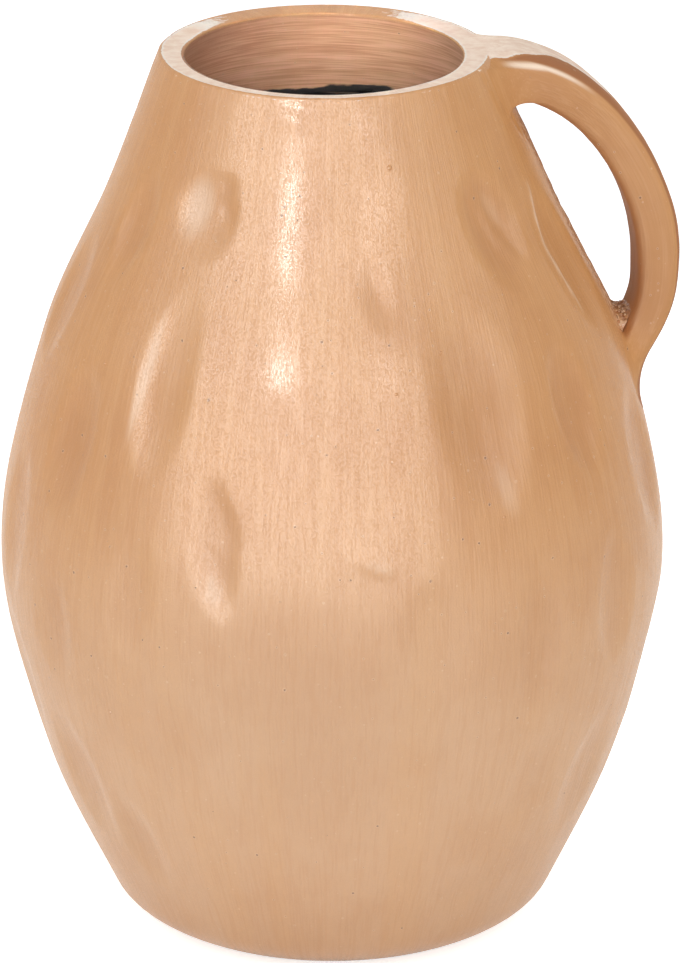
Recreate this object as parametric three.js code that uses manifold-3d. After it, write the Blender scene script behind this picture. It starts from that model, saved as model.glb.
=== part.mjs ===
// A hand-pressed terracotta vase with one strap handle.
// The pot is a thrown wall and floor in one piece, pressed in with the fingers while it was soft.
// A pulled strap handle is luted on to it, flush with the cut lip at the top and on the shoulder below,
// with a roll of slip in the corner behind each end. A black sealing coat lines the hollow.
// Millimetres and degrees, +Z up. The origin is the centre of the foot, and the handle points along +X.
import * as THREE from 'three';
import { mergeVertices } from 'three/addons/utils/BufferGeometryUtils.js';
import Module from 'manifold-3d';

// The pot's outline: the radius and height of each place that gives it its shape. The haunch, the shoulder
// and the neck swell with the belly, so that the curve stays fair.
const height = 350;
const footRadius = 80.5;
const bellyRadius = 130;
const bellyHeight = 0.43 * height;
const haunchRadius = 0.866 * bellyRadius;
const haunchHeight = 0.2 * height;
const shoulderRadius = 0.8615 * bellyRadius;
const shoulderHeight = 0.683 * height;
const neckRadius = 0.669 * bellyRadius;
const neckHeight = 0.84 * height;
const lipRadius = 64;

// The clay: its wall, its floor and the eased edges. The foot's edge is drawn in over its ease, ever more
// steeply towards the ground.
const wall = 9;
const lipWall = 10.8;
const floorThickness = 13;
const floorFillet = 22;
const footEase = 10.5;
const footEaseHeight = 15;
const footEasePower = 2.5;
const lipEase = 0.9;

// What the hand left uneven: the neck leans from the handle, the lip and the mouth are a little longer
// from front to back, and the mouth is cut nearer the front.
const neckLean = 2.7;
const leanStart = 0.6 * height;
const lipOvalRatio = 1.03;
const mouthOvalRatio = 1.06;
const mouthShift = 3.3;

// The black sealing coat stops below the mouth.
const coat = 0.9;
const coatDepth = 35;
const gap = 0.3;

// The strap handle. Its ends are wider, where the clay was smoothed on to the pot, and its root flares
// into the lip. It runs into the shoulder at a slant, measured from upright.
const strapWidth = 26;
const strapThickness = 18.2;
const strapCornerPower = 0.62;
const rootWidth = 37.5;
const rootThickness = 18.2;
const rootFlare = 21;
const rootFlareLength = 15;
const rootBite = 5;
const footWidth = 36;
const footThickness = 15;
const footCornerPower = 0.9;
const footBite = 12;
const crownHeight = 0.75 * height;
const fingerRoom = 16;
const handleFootHeight = 0.643 * height;
const footSlant = 31;

// Where along the strap, from 0 at its root to 1 at its foot, it has slimmed from its root, starts to thin,
// has thinned, and starts to widen to its foot.
const slimmedShare = 0.4;
const thinsFromShare = 0.62;
const thinnedShare = 0.92;
const widensFromShare = 0.82;

// How far the strap's curve holds its direction at its root, its crown and its foot, as shares of its
// reach out from the lip, of its drop to the crown and of its fall to the foot.
const rootHoldShare = 0.57;
const crownHoldAboveShare = 0.44;
const crownHoldBelowShare = 0.5;
const footHoldShare = 0.5;

// The rolls of slip in the corners behind the handle's two ends: how far each reaches along the wall and
// the strap, its width, and how far out of the corner its hollow face is drawn, as a share of its reach.
const upperSlipSize = 6;
const lowerSlipSize = 8;
const slipWidth = 23;
const slipFullnessShare = 0.3;

// A finger press, how fast it deepens from its edge, how much a steep side of it loses in width and the
// easy side across from it gains, and how far the presses behind are turned and raised from those in front.
const pressWidth = 32;
const pressLength = 60;
const pressDepth = 2.6;
const pressEdgePower = 3;
const steepSideShare = 0.5;
const easySideShare = 0.3;
const turnBehind = 180;
const raiseBehindShare = 0.015;

// Each press in front: degrees round from the handle, share of the height, its width, length and depth
// as shares of the usual press, its lean in degrees, and how steep a side of it is, above 0 on its right
// and below 0 on its left.
const pressesInFront = [
  [-156, 0.836, 0.75, 0.80, 1.10, 8, 0.3],
  [-131, 0.871, 1.05, 0.60, 1.00, 0, 0.4],
  [-88, 0.898, 1.10, 0.55, 0.25, 0, 0.0],
  [-51, 0.845, 1.10, 0.80, 1.45, -14, -0.3],
  [-26, 0.785, 1.10, 1.07, 1.10, -8, 0.0],
  [-176, 0.735, 0.95, 0.90, 0.90, 4, 0.0],
  [-133, 0.695, 0.95, 1.25, 0.95, 4, 0.2],
  [-87, 0.800, 0.45, 0.50, 0.28, -16, 0.2],
  [-154, 0.612, 0.95, 1.10, 1.20, 3, 0.3],
  [-68, 0.675, 1.35, 1.45, 1.25, -6, -0.1],
  [-44, 0.648, 0.90, 1.00, 1.50, -8, -0.2],
  [-20, 0.550, 1.20, 1.05, 1.10, -4, 0.0],
  [-172, 0.486, 0.95, 1.10, 0.90, 2, 0.0],
  [-118, 0.536, 0.72, 1.05, 1.00, -9, 0.4],
  [-94, 0.590, 1.25, 0.72, 0.22, -6, 0.0],
  [-134, 0.460, 0.80, 0.93, 0.85, 3, 0.4],
  [-154, 0.400, 0.90, 0.83, 0.80, 0, 0.2],
  [-80, 0.440, 1.10, 0.80, 0.35, -4, -0.2],
  [-60, 0.410, 0.95, 1.27, 1.00, 2, -0.5],
  [-40, 0.430, 0.90, 1.00, 1.10, 0, -0.2],
  [-16, 0.330, 1.00, 1.00, 0.80, 4, 0.0],
  [-124, 0.280, 0.75, 0.80, 0.45, -5, 0.2],
  [-156, 0.210, 1.00, 1.00, 0.80, -8, 0.3],
  [-142, 0.150, 0.80, 0.77, 0.80, -10, 0.3],
  [-79, 0.264, 1.10, 0.83, 0.25, 0, 0.0],
  [-57, 0.240, 0.95, 0.77, 0.55, 8, -0.2],
  [-39, 0.218, 1.05, 1.00, 0.60, 8, -0.2],
  [-175, 0.300, 1.00, 1.03, 0.70, -4, 0.0],
  [-110, 0.110, 1.05, 0.43, 0.30, 0, 0.0],
  [-69, 0.105, 1.00, 0.43, 0.35, 8, 0.0],
];

// How finely each surface is cut into facets.
const roundSteps = 96;
const riseSteps = 32;
const footSteps = 5;
const hollowRoundSteps = 48;
const hollowRiseSteps = 14;
const filletSteps = 4;
const strapSteps = 34;
const strapSides = 20;
const endCrowdingShare = 0.06;

const clay = new THREE.MeshStandardMaterial({ color: 0xd39a68, roughness: 0.5, metalness: 0 });
const sealer = new THREE.MeshStandardMaterial({ color: 0x17171a, roughness: 0.6, metalness: 0 });

const wasm = await Module();
wasm.setup();

// Solids for the boolean cuts, from closed geometries and back.

function solidFrom(geometry) {
  const bare = geometry.clone();
  bare.deleteAttribute('normal');
  bare.deleteAttribute('uv');
  const merged = mergeVertices(bare, 1e-4);
  return new wasm.Manifold(new wasm.Mesh({
    numProp: 3,
    vertProperties: merged.attributes.position.array,
    triVerts: new Uint32Array(merged.index.array),
  }));
}

function geometryFrom(solid) {
  const mesh = solid.getMesh();
  const geometry = new THREE.BufferGeometry();
  geometry.setAttribute('position', new THREE.BufferAttribute(mesh.vertProperties, mesh.numProp));
  geometry.setIndex(new THREE.BufferAttribute(mesh.triVerts, 1));
  geometry.computeVertexNormals();
  return geometry;
}

// The outline, as a smooth curve of radius against height through the stations.

const stations = [
  [footRadius, 0],
  [haunchRadius, haunchHeight],
  [bellyRadius, bellyHeight],
  [shoulderRadius, shoulderHeight],
  [neckRadius, neckHeight],
  [lipRadius, height],
];

function slopeAt(i) {
  const [belowRadius, belowHeight] = stations[Math.max(i - 1, 0)];
  const [aboveRadius, aboveHeight] = stations[Math.min(i + 1, stations.length - 1)];
  return (aboveRadius - belowRadius) / (aboveHeight - belowHeight);
}

function potRadius(z) {
  let i = 0;
  while (i < stations.length - 2 && z > stations[i + 1][1]) i += 1;
  const [r0, z0] = stations[i];
  const [r1, z1] = stations[i + 1];
  const span = z1 - z0;
  const t = (z - z0) / span;
  return (2 * t ** 3 - 3 * t ** 2 + 1) * r0 + (t ** 3 - 2 * t ** 2 + t) * span * slopeAt(i)
    + (3 * t ** 2 - 2 * t ** 3) * r1 + (t ** 3 - t ** 2) * span * slopeAt(i + 1);
}

// How far along X the pot's middle is at a height, where the neck leans from the handle.

function leanAt(z) {
  const up = Math.max(0, (z - leanStart) / (height - leanStart));
  return -neckLean * up ** 2;
}

// How far up the neck a height is, from 0 where the neck starts to 1 at the lip.

function neckShare(z) {
  return THREE.MathUtils.clamp((z - neckHeight) / (height - neckHeight), 0, 1);
}

// How deep the finger presses are at a place on the wall.

const presses = pressesInFront.flatMap(([turn, up, ...form]) => [
  [turn, up, ...form],
  [turn + turnBehind, up + raiseBehindShare, ...form],
]);

function pressed(angle, z) {
  let depth = 0;
  for (const [turn, up, wide, long, deep, lean, steep] of presses) {
    const across = THREE.MathUtils.euclideanModulo(angle - turn + 180, 360) - 180;
    const x = THREE.MathUtils.degToRad(across) * potRadius(z);
    const y = z - up * height;
    const tilt = THREE.MathUtils.degToRad(lean);
    const sideways = x * Math.cos(tilt) - y * Math.sin(tilt);
    const isSteepSide = sideways * steep > 0;
    const skew = Math.abs(steep) * (isSteepSide ? -steepSideShare : easySideShare);
    const u = sideways / ((1 + skew) * wide * pressWidth / 2);
    const v = (x * Math.sin(tilt) + y * Math.cos(tilt)) / (long * pressLength / 2);
    const reach = Math.hypot(u, v);
    if (reach < 1) depth += deep * pressDepth * (1 - reach ** pressEdgePower) ** 2;
  }
  return depth;
}

// Revolves an outline of [radius, height] pairs about Z, and moves each vertex with change(x, y, z).

function revolve(outline, sides, change) {
  const points = outline.map(([radius, z]) => new THREE.Vector2(radius, z));
  const turned = new THREE.LatheGeometry(points, sides).rotateX(Math.PI / 2);
  turned.deleteAttribute('normal');
  turned.deleteAttribute('uv');
  const geometry = mergeVertices(turned, 1e-4);
  const place = geometry.attributes.position;
  for (let i = 0; i < place.count; i += 1) {
    place.setXYZ(i, ...change(place.getX(i), place.getY(i), place.getZ(i)));
  }
  return geometry;
}

// The pot's outside as a filled solid, grown by a clearance when it is the cutter for what sits on it.

function outside(clearance = 0) {
  const outline = [[0, 0]];
  for (let i = 0; i < footSteps; i += 1) {
    const z = footEaseHeight * (i / footSteps) ** 2;
    outline.push([potRadius(z) - footEase * (1 - z / footEaseHeight) ** footEasePower, z]);
  }
  const top = height - lipEase;
  for (let i = 0; i <= riseSteps; i += 1) {
    const z = footEaseHeight + (top - footEaseHeight) * i / riseSteps;
    outline.push([potRadius(z), z]);
  }
  outline.push([potRadius(height) - lipEase, height], [0, height]);
  return solidFrom(revolve(outline, roundSteps, (x, y, z) => {
    const radius = Math.hypot(x, y);
    if (radius === 0) return [leanAt(z), 0, z];
    const depth = pressed(THREE.MathUtils.radToDeg(Math.atan2(y, x)), z);
    const scale = (radius - depth + clearance) / radius;
    const oval = THREE.MathUtils.lerp(1, lipOvalRatio, neckShare(z));
    return [x * scale + leanAt(z), y * scale * oval, z];
  }));
}

// The hollow's outline from the middle of the floor up, moved out by an offset along its normals.

function hollowWall(z) {
  return potRadius(z) - THREE.MathUtils.lerp(wall, lipWall, neckShare(z));
}

function hollowOutline(top, offset = 0) {
  const filletTurn = Math.PI / 2 - Math.atan(slopeAt(0));
  const low = floorThickness + floorFillet * (1 - Math.cos(filletTurn));
  const middle = hollowWall(low) - floorFillet * Math.sin(filletTurn);
  const outline = [[0, floorThickness]];
  for (let i = 0; i <= filletSteps; i += 1) {
    const turn = filletTurn * i / filletSteps;
    const rise = floorFillet * (1 - Math.cos(turn));
    outline.push([middle + floorFillet * Math.sin(turn), floorThickness + rise]);
  }
  for (let i = 1; i <= hollowRiseSteps; i += 1) {
    const z = low + (height - low) * i / hollowRiseSteps;
    if (z < top) outline.push([hollowWall(z), z]);
  }
  outline.push([hollowWall(top), top]);
  return outline.map(([radius, z], i) => {
    if (i === 0) return [0, z - offset];
    if (i === outline.length - 1) return [radius + offset, z];
    const [r0, z0] = outline[i - 1];
    const [r1, z1] = outline[i + 1];
    const length = Math.hypot(r1 - r0, z1 - z0);
    return [radius + offset * (z1 - z0) / length, z - offset * (r1 - r0) / length];
  });
}

function hollowPlace(x, y, z) {
  const up = neckShare(z);
  return [x + leanAt(z), y * THREE.MathUtils.lerp(1, mouthOvalRatio, up) - mouthShift * up, z];
}

function hollow() {
  const outline = hollowOutline(height - lipEase);
  const mouth = hollowWall(height) + lipEase;
  outline.push([mouth, height], [mouth, height + lipEase], [0, height + lipEase]);
  return solidFrom(revolve(outline, hollowRoundSteps, hollowPlace));
}

// The coat follows the hollow at a clearance, open at the top.

function sealingCoat() {
  const top = height - coatDepth;
  const outer = hollowOutline(top, -gap);
  const inner = hollowOutline(top, -gap - coat);
  return solidFrom(revolve([...outer, ...inner.reverse()], hollowRoundSteps, hollowPlace));
}

// The handle's middle line: out from the lip, over to its crown and down into the shoulder.

const strapTop = height - gap - rootThickness / 2;
const crownX = potRadius(crownHeight) + fingerRoom + strapThickness / 2;
const rootX = lipRadius - neckLean;
const footX = potRadius(handleFootHeight);

function strapLine() {
  const line = new THREE.CurvePath();
  const point = (x, z) => new THREE.Vector3(x, 0, z);
  const drop = strapTop - crownHeight;
  const out = crownX - rootX;
  line.add(new THREE.LineCurve3(point(rootX - rootBite, strapTop), point(rootX, strapTop)));
  line.add(new THREE.CubicBezierCurve3(point(rootX, strapTop), point(rootX + rootHoldShare * out, strapTop),
    point(crownX, crownHeight + crownHoldAboveShare * drop), point(crownX, crownHeight)));
  const fall = crownHeight - handleFootHeight;
  const slant = THREE.MathUtils.degToRad(footSlant);
  const alongFoot = (reach) => (
    point(footX + reach * Math.sin(slant), handleFootHeight + reach * Math.cos(slant))
  );
  line.add(new THREE.CubicBezierCurve3(point(crownX, crownHeight),
    point(crownX, crownHeight - crownHoldBelowShare * fall), alongFoot(footHoldShare * fall),
    alongFoot(-footBite)));
  return line;
}

const strapLength = strapLine().getLength();

// The strap's width, thickness and roundness along its line, from its root at 0 to its foot at 1.

function strapSection(along) {
  const { lerp, smoothstep } = THREE.MathUtils;
  const fromRoot = smoothstep(along, 0, slimmedShare);
  const intoFoot = smoothstep(along, widensFromShare, 1);
  const toThin = smoothstep(along, thinsFromShare, thinnedShare);
  const flare = rootFlare * Math.max(0, 1 - along * strapLength / rootFlareLength) ** 2;
  return {
    width: lerp(lerp(rootWidth, strapWidth, fromRoot), footWidth, intoFoot) + flare,
    thickness: lerp(lerp(rootThickness, strapThickness, fromRoot), footThickness, toThin),
    corner: lerp(strapCornerPower, footCornerPower, intoFoot),
  };
}

// A loft of rounded rectangles along the middle line, closer together towards its ends, and closed there.

function strap(clearance = 0) {
  const line = strapLine();
  const across = new THREE.Vector3(0, 1, 0);
  const positions = [];
  const centres = [];
  for (let i = 0; i <= strapSteps; i += 1) {
    const even = i / strapSteps;
    const along = even - endCrowdingShare * Math.sin(2 * Math.PI * even);
    const centre = line.getPointAt(along);
    const outward = new THREE.Vector3().crossVectors(line.getTangentAt(along), across).normalize();
    const { width, thickness, corner } = strapSection(along);
    centres.push(centre);
    for (let k = 0; k < strapSides; k += 1) {
      const angle = 2 * Math.PI * k / strapSides;
      const round = (value) => Math.sign(value) * Math.abs(value) ** corner;
      positions.push(...centre.clone()
        .addScaledVector(across, (width / 2 + clearance) * round(Math.cos(angle)))
        .addScaledVector(outward, (thickness / 2 + clearance) * round(Math.sin(angle)))
        .toArray());
    }
  }
  const rootMiddle = positions.length / 3;
  const footMiddle = rootMiddle + 1;
  positions.push(...centres[0].toArray(), ...centres[strapSteps].toArray());
  const faces = [];
  for (let k = 0; k < strapSides; k += 1) {
    const next = (k + 1) % strapSides;
    faces.push(rootMiddle, next, k);
    faces.push(footMiddle, strapSteps * strapSides + k, strapSteps * strapSides + next);
    for (let i = 0; i < strapSteps; i += 1) {
      const [a, b] = [i * strapSides + k, i * strapSides + next];
      faces.push(a, b, a + strapSides, b, b + strapSides, a + strapSides);
    }
  }
  const geometry = new THREE.BufferGeometry();
  geometry.setAttribute('position', new THREE.Float32BufferAttribute(positions, 3));
  geometry.setIndex(faces);
  return solidFrom(geometry);
}

// Where the strap's inner face meets the wall, searching from a share of its line that is in the wall
// to one that is clear of it.

function cornerBetween(inWall, clear) {
  const line = strapLine();
  const across = new THREE.Vector3(0, 1, 0);
  const innerPoint = (along) => {
    const inward = new THREE.Vector3().crossVectors(across, line.getTangentAt(along)).normalize();
    return line.getPointAt(along).addScaledVector(inward, strapSection(along).thickness / 2);
  };
  let [a, b] = [inWall, clear];
  for (let i = 0; i < 30; i += 1) {
    const middle = (a + b) / 2;
    const point = innerPoint(middle);
    if (point.x - leanAt(point.z) < potRadius(point.z)) a = middle;
    else b = middle;
  }
  return { corner: innerPoint(b), alongStrap: innerPoint(clear).sub(innerPoint(b)).normalize() };
}

// A roll of slip across the corner: a hollow-faced wedge that reaches along the strap and the wall.

function slipRoll({ corner, alongStrap }, size, upOrDown) {
  const step = upOrDown * size;
  const wallX = (z) => potRadius(z) + leanAt(z);
  const onWall = new THREE.Vector2(wallX(corner.z + step) - wallX(corner.z), step).setLength(size);
  const onStrap = new THREE.Vector2(alongStrap.x, alongStrap.z).setLength(size);
  const outOfCorner = onWall.clone().add(onStrap);
  const control = outOfCorner.clone().multiplyScalar(slipFullnessShare);
  const wedge = new THREE.Shape();
  wedge.moveTo(-outOfCorner.x / 2, -outOfCorner.y / 2);
  wedge.lineTo(onWall.x, onWall.y);
  wedge.quadraticCurveTo(control.x, control.y, onStrap.x, onStrap.y);
  const roll = new THREE.ExtrudeGeometry(wedge, { depth: slipWidth, bevelEnabled: false });
  return solidFrom(roll.rotateX(Math.PI / 2).translate(corner.x, slipWidth / 2, corner.z));
}

// The pieces. What sits on the pot is cut by it, and the slip is cut by the strap as well.

const vase = new THREE.Group();

function add(name, solid, material) {
  const mesh = new THREE.Mesh(geometryFrom(solid), material);
  mesh.name = name;
  vase.add(mesh);
}

const potCutter = outside(gap);
const strapCutter = strap(gap);
const upperSlip = slipRoll(cornerBetween(0, slimmedShare), upperSlipSize, -1);
const lowerSlip = slipRoll(cornerBetween(1, thinsFromShare), lowerSlipSize, 1);

add('body', outside().subtract(hollow()), clay);
add('handle', strap().subtract(potCutter), clay);
add('upper_slip_joint', upperSlip.subtract(potCutter).subtract(strapCutter), clay);
add('lower_slip_joint', lowerSlip.subtract(potCutter).subtract(strapCutter), clay);
add('sealing_coat', sealingCoat(), sealer);

export default vase;
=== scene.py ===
from math import atan, atan2, copysign, cos, degrees, hypot, pi, radians, sin, sqrt

import bmesh
import bpy
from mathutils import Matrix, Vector, geometry, noise


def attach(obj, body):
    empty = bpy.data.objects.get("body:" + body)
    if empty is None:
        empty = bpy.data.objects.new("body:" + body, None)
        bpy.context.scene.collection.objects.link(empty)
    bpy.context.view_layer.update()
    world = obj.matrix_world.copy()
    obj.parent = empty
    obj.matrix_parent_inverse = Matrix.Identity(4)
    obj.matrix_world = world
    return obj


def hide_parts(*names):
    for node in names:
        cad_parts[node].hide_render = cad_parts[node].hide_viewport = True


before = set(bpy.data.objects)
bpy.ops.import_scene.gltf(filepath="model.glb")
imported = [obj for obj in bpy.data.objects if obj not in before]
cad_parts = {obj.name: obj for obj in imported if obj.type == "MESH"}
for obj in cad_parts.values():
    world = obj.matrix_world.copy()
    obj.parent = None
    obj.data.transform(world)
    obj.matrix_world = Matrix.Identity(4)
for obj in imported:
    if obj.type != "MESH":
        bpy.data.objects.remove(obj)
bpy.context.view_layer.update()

print("frame loaded")


# sizes are metres and turns are degrees; the handle points along +X and the camera stands at -Y
potSizes = {
    "stations": [(0.0805, 0.0), (0.11258, 0.07), (0.130, 0.1505), (0.112, 0.23905), (0.08697, 0.294),
                 (0.064, 0.350)],
    "footEase": 0.0105,  # how far the foot's edge is drawn in, ever more steeply
    "footEaseHeight": 0.015,
    "lipEase": 0.0011,
    "wall": 0.009, "lipWall": 0.0108, "floor": 0.013, "floorFillet": 0.022,
    "lean": 0.0027,  # the neck leans from the handle
    "leanStart": 0.21,
    "lipOval": 1.03, "mouthOval": 1.06,  # the lip is a little longer from front to back
    "mouthShift": 0.0045,  # the mouth is cut nearer the front
    "mouthAside": 0.0010,  # and a little away from the handle
    "unevenness": 0.0007,  # slow waves left by the hand
    "unevenWaves": 0.04,
    "unevenFrom": 0.03,  # how far from the foot and the lip they are at their full depth
    "lipNicks": 0.0005,
    "nickWaves": (0.012, 0.004),
    "nicksUnder": 0.008,  # how far down from the lip they reach
    "lipLumps": 0.0006,  # clay pushed out under the front of the rim when it was cut
    "lumpWaves": 0.013,
    "lumpsUnder": (0.014, 0.005),
    "missedDepth": 0.0007,  # rough slip behind the handle, where the brush didn't reach
    "missedWaves": (0.011, 0.0045),
    # how much darker the wall behind the handle is
    "missedDarker": 0.5,
    "missedTurns": (-16, -8, 4, 14),  # where it starts, is full, starts to fade and is gone
    "missedHeights": (0.232, 0.246, 0.322, 0.334),
    "rimDip": 0.0003,  # the rim is sanded a little lower where the handle joins it
    "dipEnds": (32, 55),  # fading between these turns from the handle
    "innerEdgeShadow": 1.15,  # how dark the painted shadow along the rim's inner edge is, and the black painted in it
    "innerEdgeBlack": 0.5,
    "innerEdgeTurn": (-150, 60),  # its middle, and how far round it goes
    "shaded": 0.55,  # how much browner the inside of the neck is at the left
    "shadedTurn": (170, 55),
    "shadeAndPooling": 0.16,  # how much painted shade deepens the colour at the middle of a press, with slip pooled there
    "sandedUnder": 0.6,  # how bare the underside is, and the lip's outer and inner edge
    "sandedOutside": 0.30, "sandedInside": 0.36,
    "sandedBand": (0.003, 0.001),  # how far under the lip those edges start, and are full
    "sandedBehind": 0.2,  # how much of the sanding the back of the rim had
    "rowsOutside": 210, "rowsInside": 50, "sides": 320,
}
potHeight = potSizes["stations"][-1][1]
neckHeight = potSizes["stations"][-2][1]
lipRadius = potSizes["stations"][-1][0]

# a finger press, how much its steep side loses in width and its easy side gains, and how far the presses
# behind are turned and raised from those in front
pressSizes = {
    "width": 0.032, "length": 0.060, "depth": 0.0026,
    "steepSide": 0.5, "easySide": 0.3,
    "turnBehind": 180, "raiseBehind": 0.015,
}

# each press in front: degrees round from the handle, share of the height, width, length and depth as shares
# of the usual press, lean in degrees, and how steep one side is, above 0 on its right and below 0 on its left
pressesInFront = [
    (-156, 0.836, 0.75, 0.8, 1.1, 8, 0.3),
    (-131, 0.871, 1.05, 0.6, 1.0, 0, 0.4),
    (-88, 0.898, 1.1, 0.55, 0.25, 0),
    (-51, 0.845, 1.1, 0.8, 1.45, -14, -0.3),
    (-26, 0.785, 1.1, 1.07, 1.1, -8),
    (-176, 0.735, 0.95, 0.9, 0.9, 4),
    (-133, 0.695, 0.95, 1.25, 0.95, 4, 0.2),
    (-87, 0.8, 0.45, 0.5, 0.28, -16, 0.2),
    (-154, 0.612, 0.95, 1.1, 1.2, 3, 0.3),
    (-68, 0.675, 1.35, 1.45, 1.25, -6, -0.1),
    (-44, 0.648, 0.9, 1.0, 1.5, -8, -0.2),
    (-20, 0.55, 1.2, 1.05, 1.1, -4),
    (-172, 0.486, 0.95, 1.1, 0.9, 2),
    (-118, 0.536, 0.72, 1.05, 1.0, -9, 0.4),
    (-94, 0.59, 1.25, 0.72, 0.22, -6),
    (-134, 0.46, 0.8, 0.93, 0.85, 3, 0.4),
    (-154, 0.4, 0.9, 0.83, 0.8, 0, 0.2),
    (-80, 0.44, 1.1, 0.8, 0.35, -4, -0.2),
    (-60, 0.41, 0.95, 1.27, 1.0, 2, -0.5),
    (-40, 0.43, 0.9, 1.0, 1.1, 0, -0.2),
    (-16, 0.33, 1.0, 1.0, 0.8, 4),
    (-124, 0.28, 0.75, 0.8, 0.45, -5, 0.2),
    (-156, 0.21, 1.0, 1.0, 0.8, -8, 0.3),
    (-142, 0.15, 0.8, 0.77, 0.8, -10, 0.3),
    (-79, 0.264, 1.1, 0.83, 0.25, 0),
    (-57, 0.24, 0.95, 0.77, 0.55, 8, -0.2),
    (-39, 0.218, 1.05, 1.0, 0.6, 8, -0.2),
    (-175, 0.3, 1.0, 1.03, 0.7, -4),
    (-110, 0.11, 1.05, 0.43, 0.3, 0),
    (-69, 0.105, 1.0, 0.43, 0.35, 8),
]

# creases left by fingernails and knuckles inside the presses, in the same terms; below 0 they stand proud
creasesInFront = [
    (-115, 0.556, 0.22, 0.42, 0.26, -11),
    (-118.5, 0.505, 0.26, 0.5, 0.24, -14),
    (-127, 0.905, 0.34, 0.2, 0.22, 10),
    (-126, 0.872, 0.3, 0.24, 0.18, -10),
    (-46, 0.845, 0.26, 0.75, 0.3, -20),
    (-53.5, 0.85, 0.24, 0.6, 0.24, -20),
    (-68, 0.648, 0.4, 0.6, 0.26, -8),
    (-91, 0.526, 0.3, 0.4, -0.16, -65),
    (-87.3, 0.812, 0.18, 0.45, 0.2, -6),
    (-31.5, 0.835, 0.2, 0.62, -0.25, 12),
    (-31, 0.772, 0.2, 0.62, -0.25, -12),
    (-13, 0.915, 0.16, 0.34, 0.4, -24),
    (-19, 0.93, 0.16, 0.3, 0.3, -20),
    (-160, 0.585, 0.24, 0.45, 0.3, 8),
    (-139, 0.43, 0.24, 0.4, 0.25, 6),
    (-58, 0.385, 0.24, 0.5, 0.3, 4),
]

# pale places painted where highlights fall on the presses' ridges and edges, in the same terms, with how pale
# instead of how deep
highlightsInFront = [
    (-118.9, 0.49, 0.18, 0.26, 0.26, -16),
    (-31.0, 0.835, 0.12, 0.62, 0.5, 12),
    (-30.5, 0.772, 0.12, 0.62, 0.5, -12),
    (-89.5, 0.522, 0.14, 0.22, 0.16, -65),
    (-47.5, 0.862, 0.22, 0.34, 0.1, -24),
    (-136, 0.875, 0.5, 0.5, 0.3, 4),
    (-64.5, 0.588, 0.3, 0.46, 0.14, -10),
    (-138.5, 0.7, 0.2, 1.0, 0.3, 6),
]


def smoothStep(value, low, high):
    share = min(max((value - low) / (high - low), 0.0), 1.0)
    return share * share * (3 - 2 * share)


def between(value, starts, full, fades, gone):
    # rises from 0 to 1 and falls back to 0
    return smoothStep(value, starts, full) * (1 - smoothStep(value, fades, gone))


def mix(first, second, share):
    return first + (second - first) * share


def waves(place, size, seed=0.0):
    # slow noise from 0 to 1
    return 0.5 + 0.5 * noise.noise(place / size + Vector((seed, seed, seed)))


def potSlope(i):
    stations = potSizes["stations"]
    below, above = stations[max(i - 1, 0)], stations[min(i + 1, len(stations) - 1)]
    return (above[0] - below[0]) / (above[1] - below[1])


def potRadius(z):
    # a smooth curve of radius against height through the stations
    stations = potSizes["stations"]
    i = 0
    while i < len(stations) - 2 and z > stations[i + 1][1]:
        i += 1
    (r0, z0), (r1, z1) = stations[i], stations[i + 1]
    span = z1 - z0
    t = (z - z0) / span
    return ((2 * t**3 - 3 * t**2 + 1) * r0 + (t**3 - 2 * t**2 + t) * span * potSlope(i)
            + (3 * t**2 - 2 * t**3) * r1 + (t**3 - t**2) * span * potSlope(i + 1))


def leanAt(z):
    up = max(0.0, (z - potSizes["leanStart"]) / (potHeight - potSizes["leanStart"]))
    return -potSizes["lean"] * up**2


def neckShare(z):
    return min(max((z - neckHeight) / (potHeight - neckHeight), 0.0), 1.0)


def nearLip(z, below, above=0.0):
    # from 0 to 1 between two distances under the lip
    return smoothStep(z, potHeight - below, potHeight - above)


def readyPress(turn, up, wide, long, deep, lean, steep=0.0):
    tilt = radians(lean)
    return {
        "turn": turn,
        "z": up * potHeight,
        "halfWidth": wide * pressSizes["width"] / 2,
        "halfLength": long * pressSizes["length"] / 2,
        "depth": deep * pressSizes["depth"],
        "cos": cos(tilt),
        "sin": sin(tilt),
        "right": 1 - pressSizes["steepSide" if steep > 0 else "easySide"] * steep,
        "left": 1 + pressSizes["easySide" if steep > 0 else "steepSide"] * steep,
    }


presses = []
for turn, up, *form in pressesInFront + creasesInFront:
    presses.append(readyPress(turn, up, *form))
    presses.append(readyPress(turn + pressSizes["turnBehind"], up + pressSizes["raiseBehind"], *form))


highlightSpots = [readyPress(*spot) for spot in highlightsInFront]


def pressDepth(angle, z, radius, dents=presses):
    depth = 0.0
    turn = degrees(angle)
    for press in dents:
        y = z - press["z"]
        if abs(y) > press["halfLength"] * 1.2:
            continue
        x = radians((turn - press["turn"] + 180) % 360 - 180) * radius
        sideways = x * press["cos"] - y * press["sin"]
        u = sideways / (press["halfWidth"] * (press["right"] if sideways > 0 else press["left"]))
        v = (x * press["sin"] + y * press["cos"]) / press["halfLength"]
        reach = u * u + v * v
        if reach < 1:
            depth += press["depth"] * (1 - reach ** 1.5) ** 2
    return depth


def missedShare(angle, z):
    # where the handle kept the brush off the wall
    return between(degrees(angle), *potSizes["missedTurns"]) * between(z, *potSizes["missedHeights"])


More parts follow.
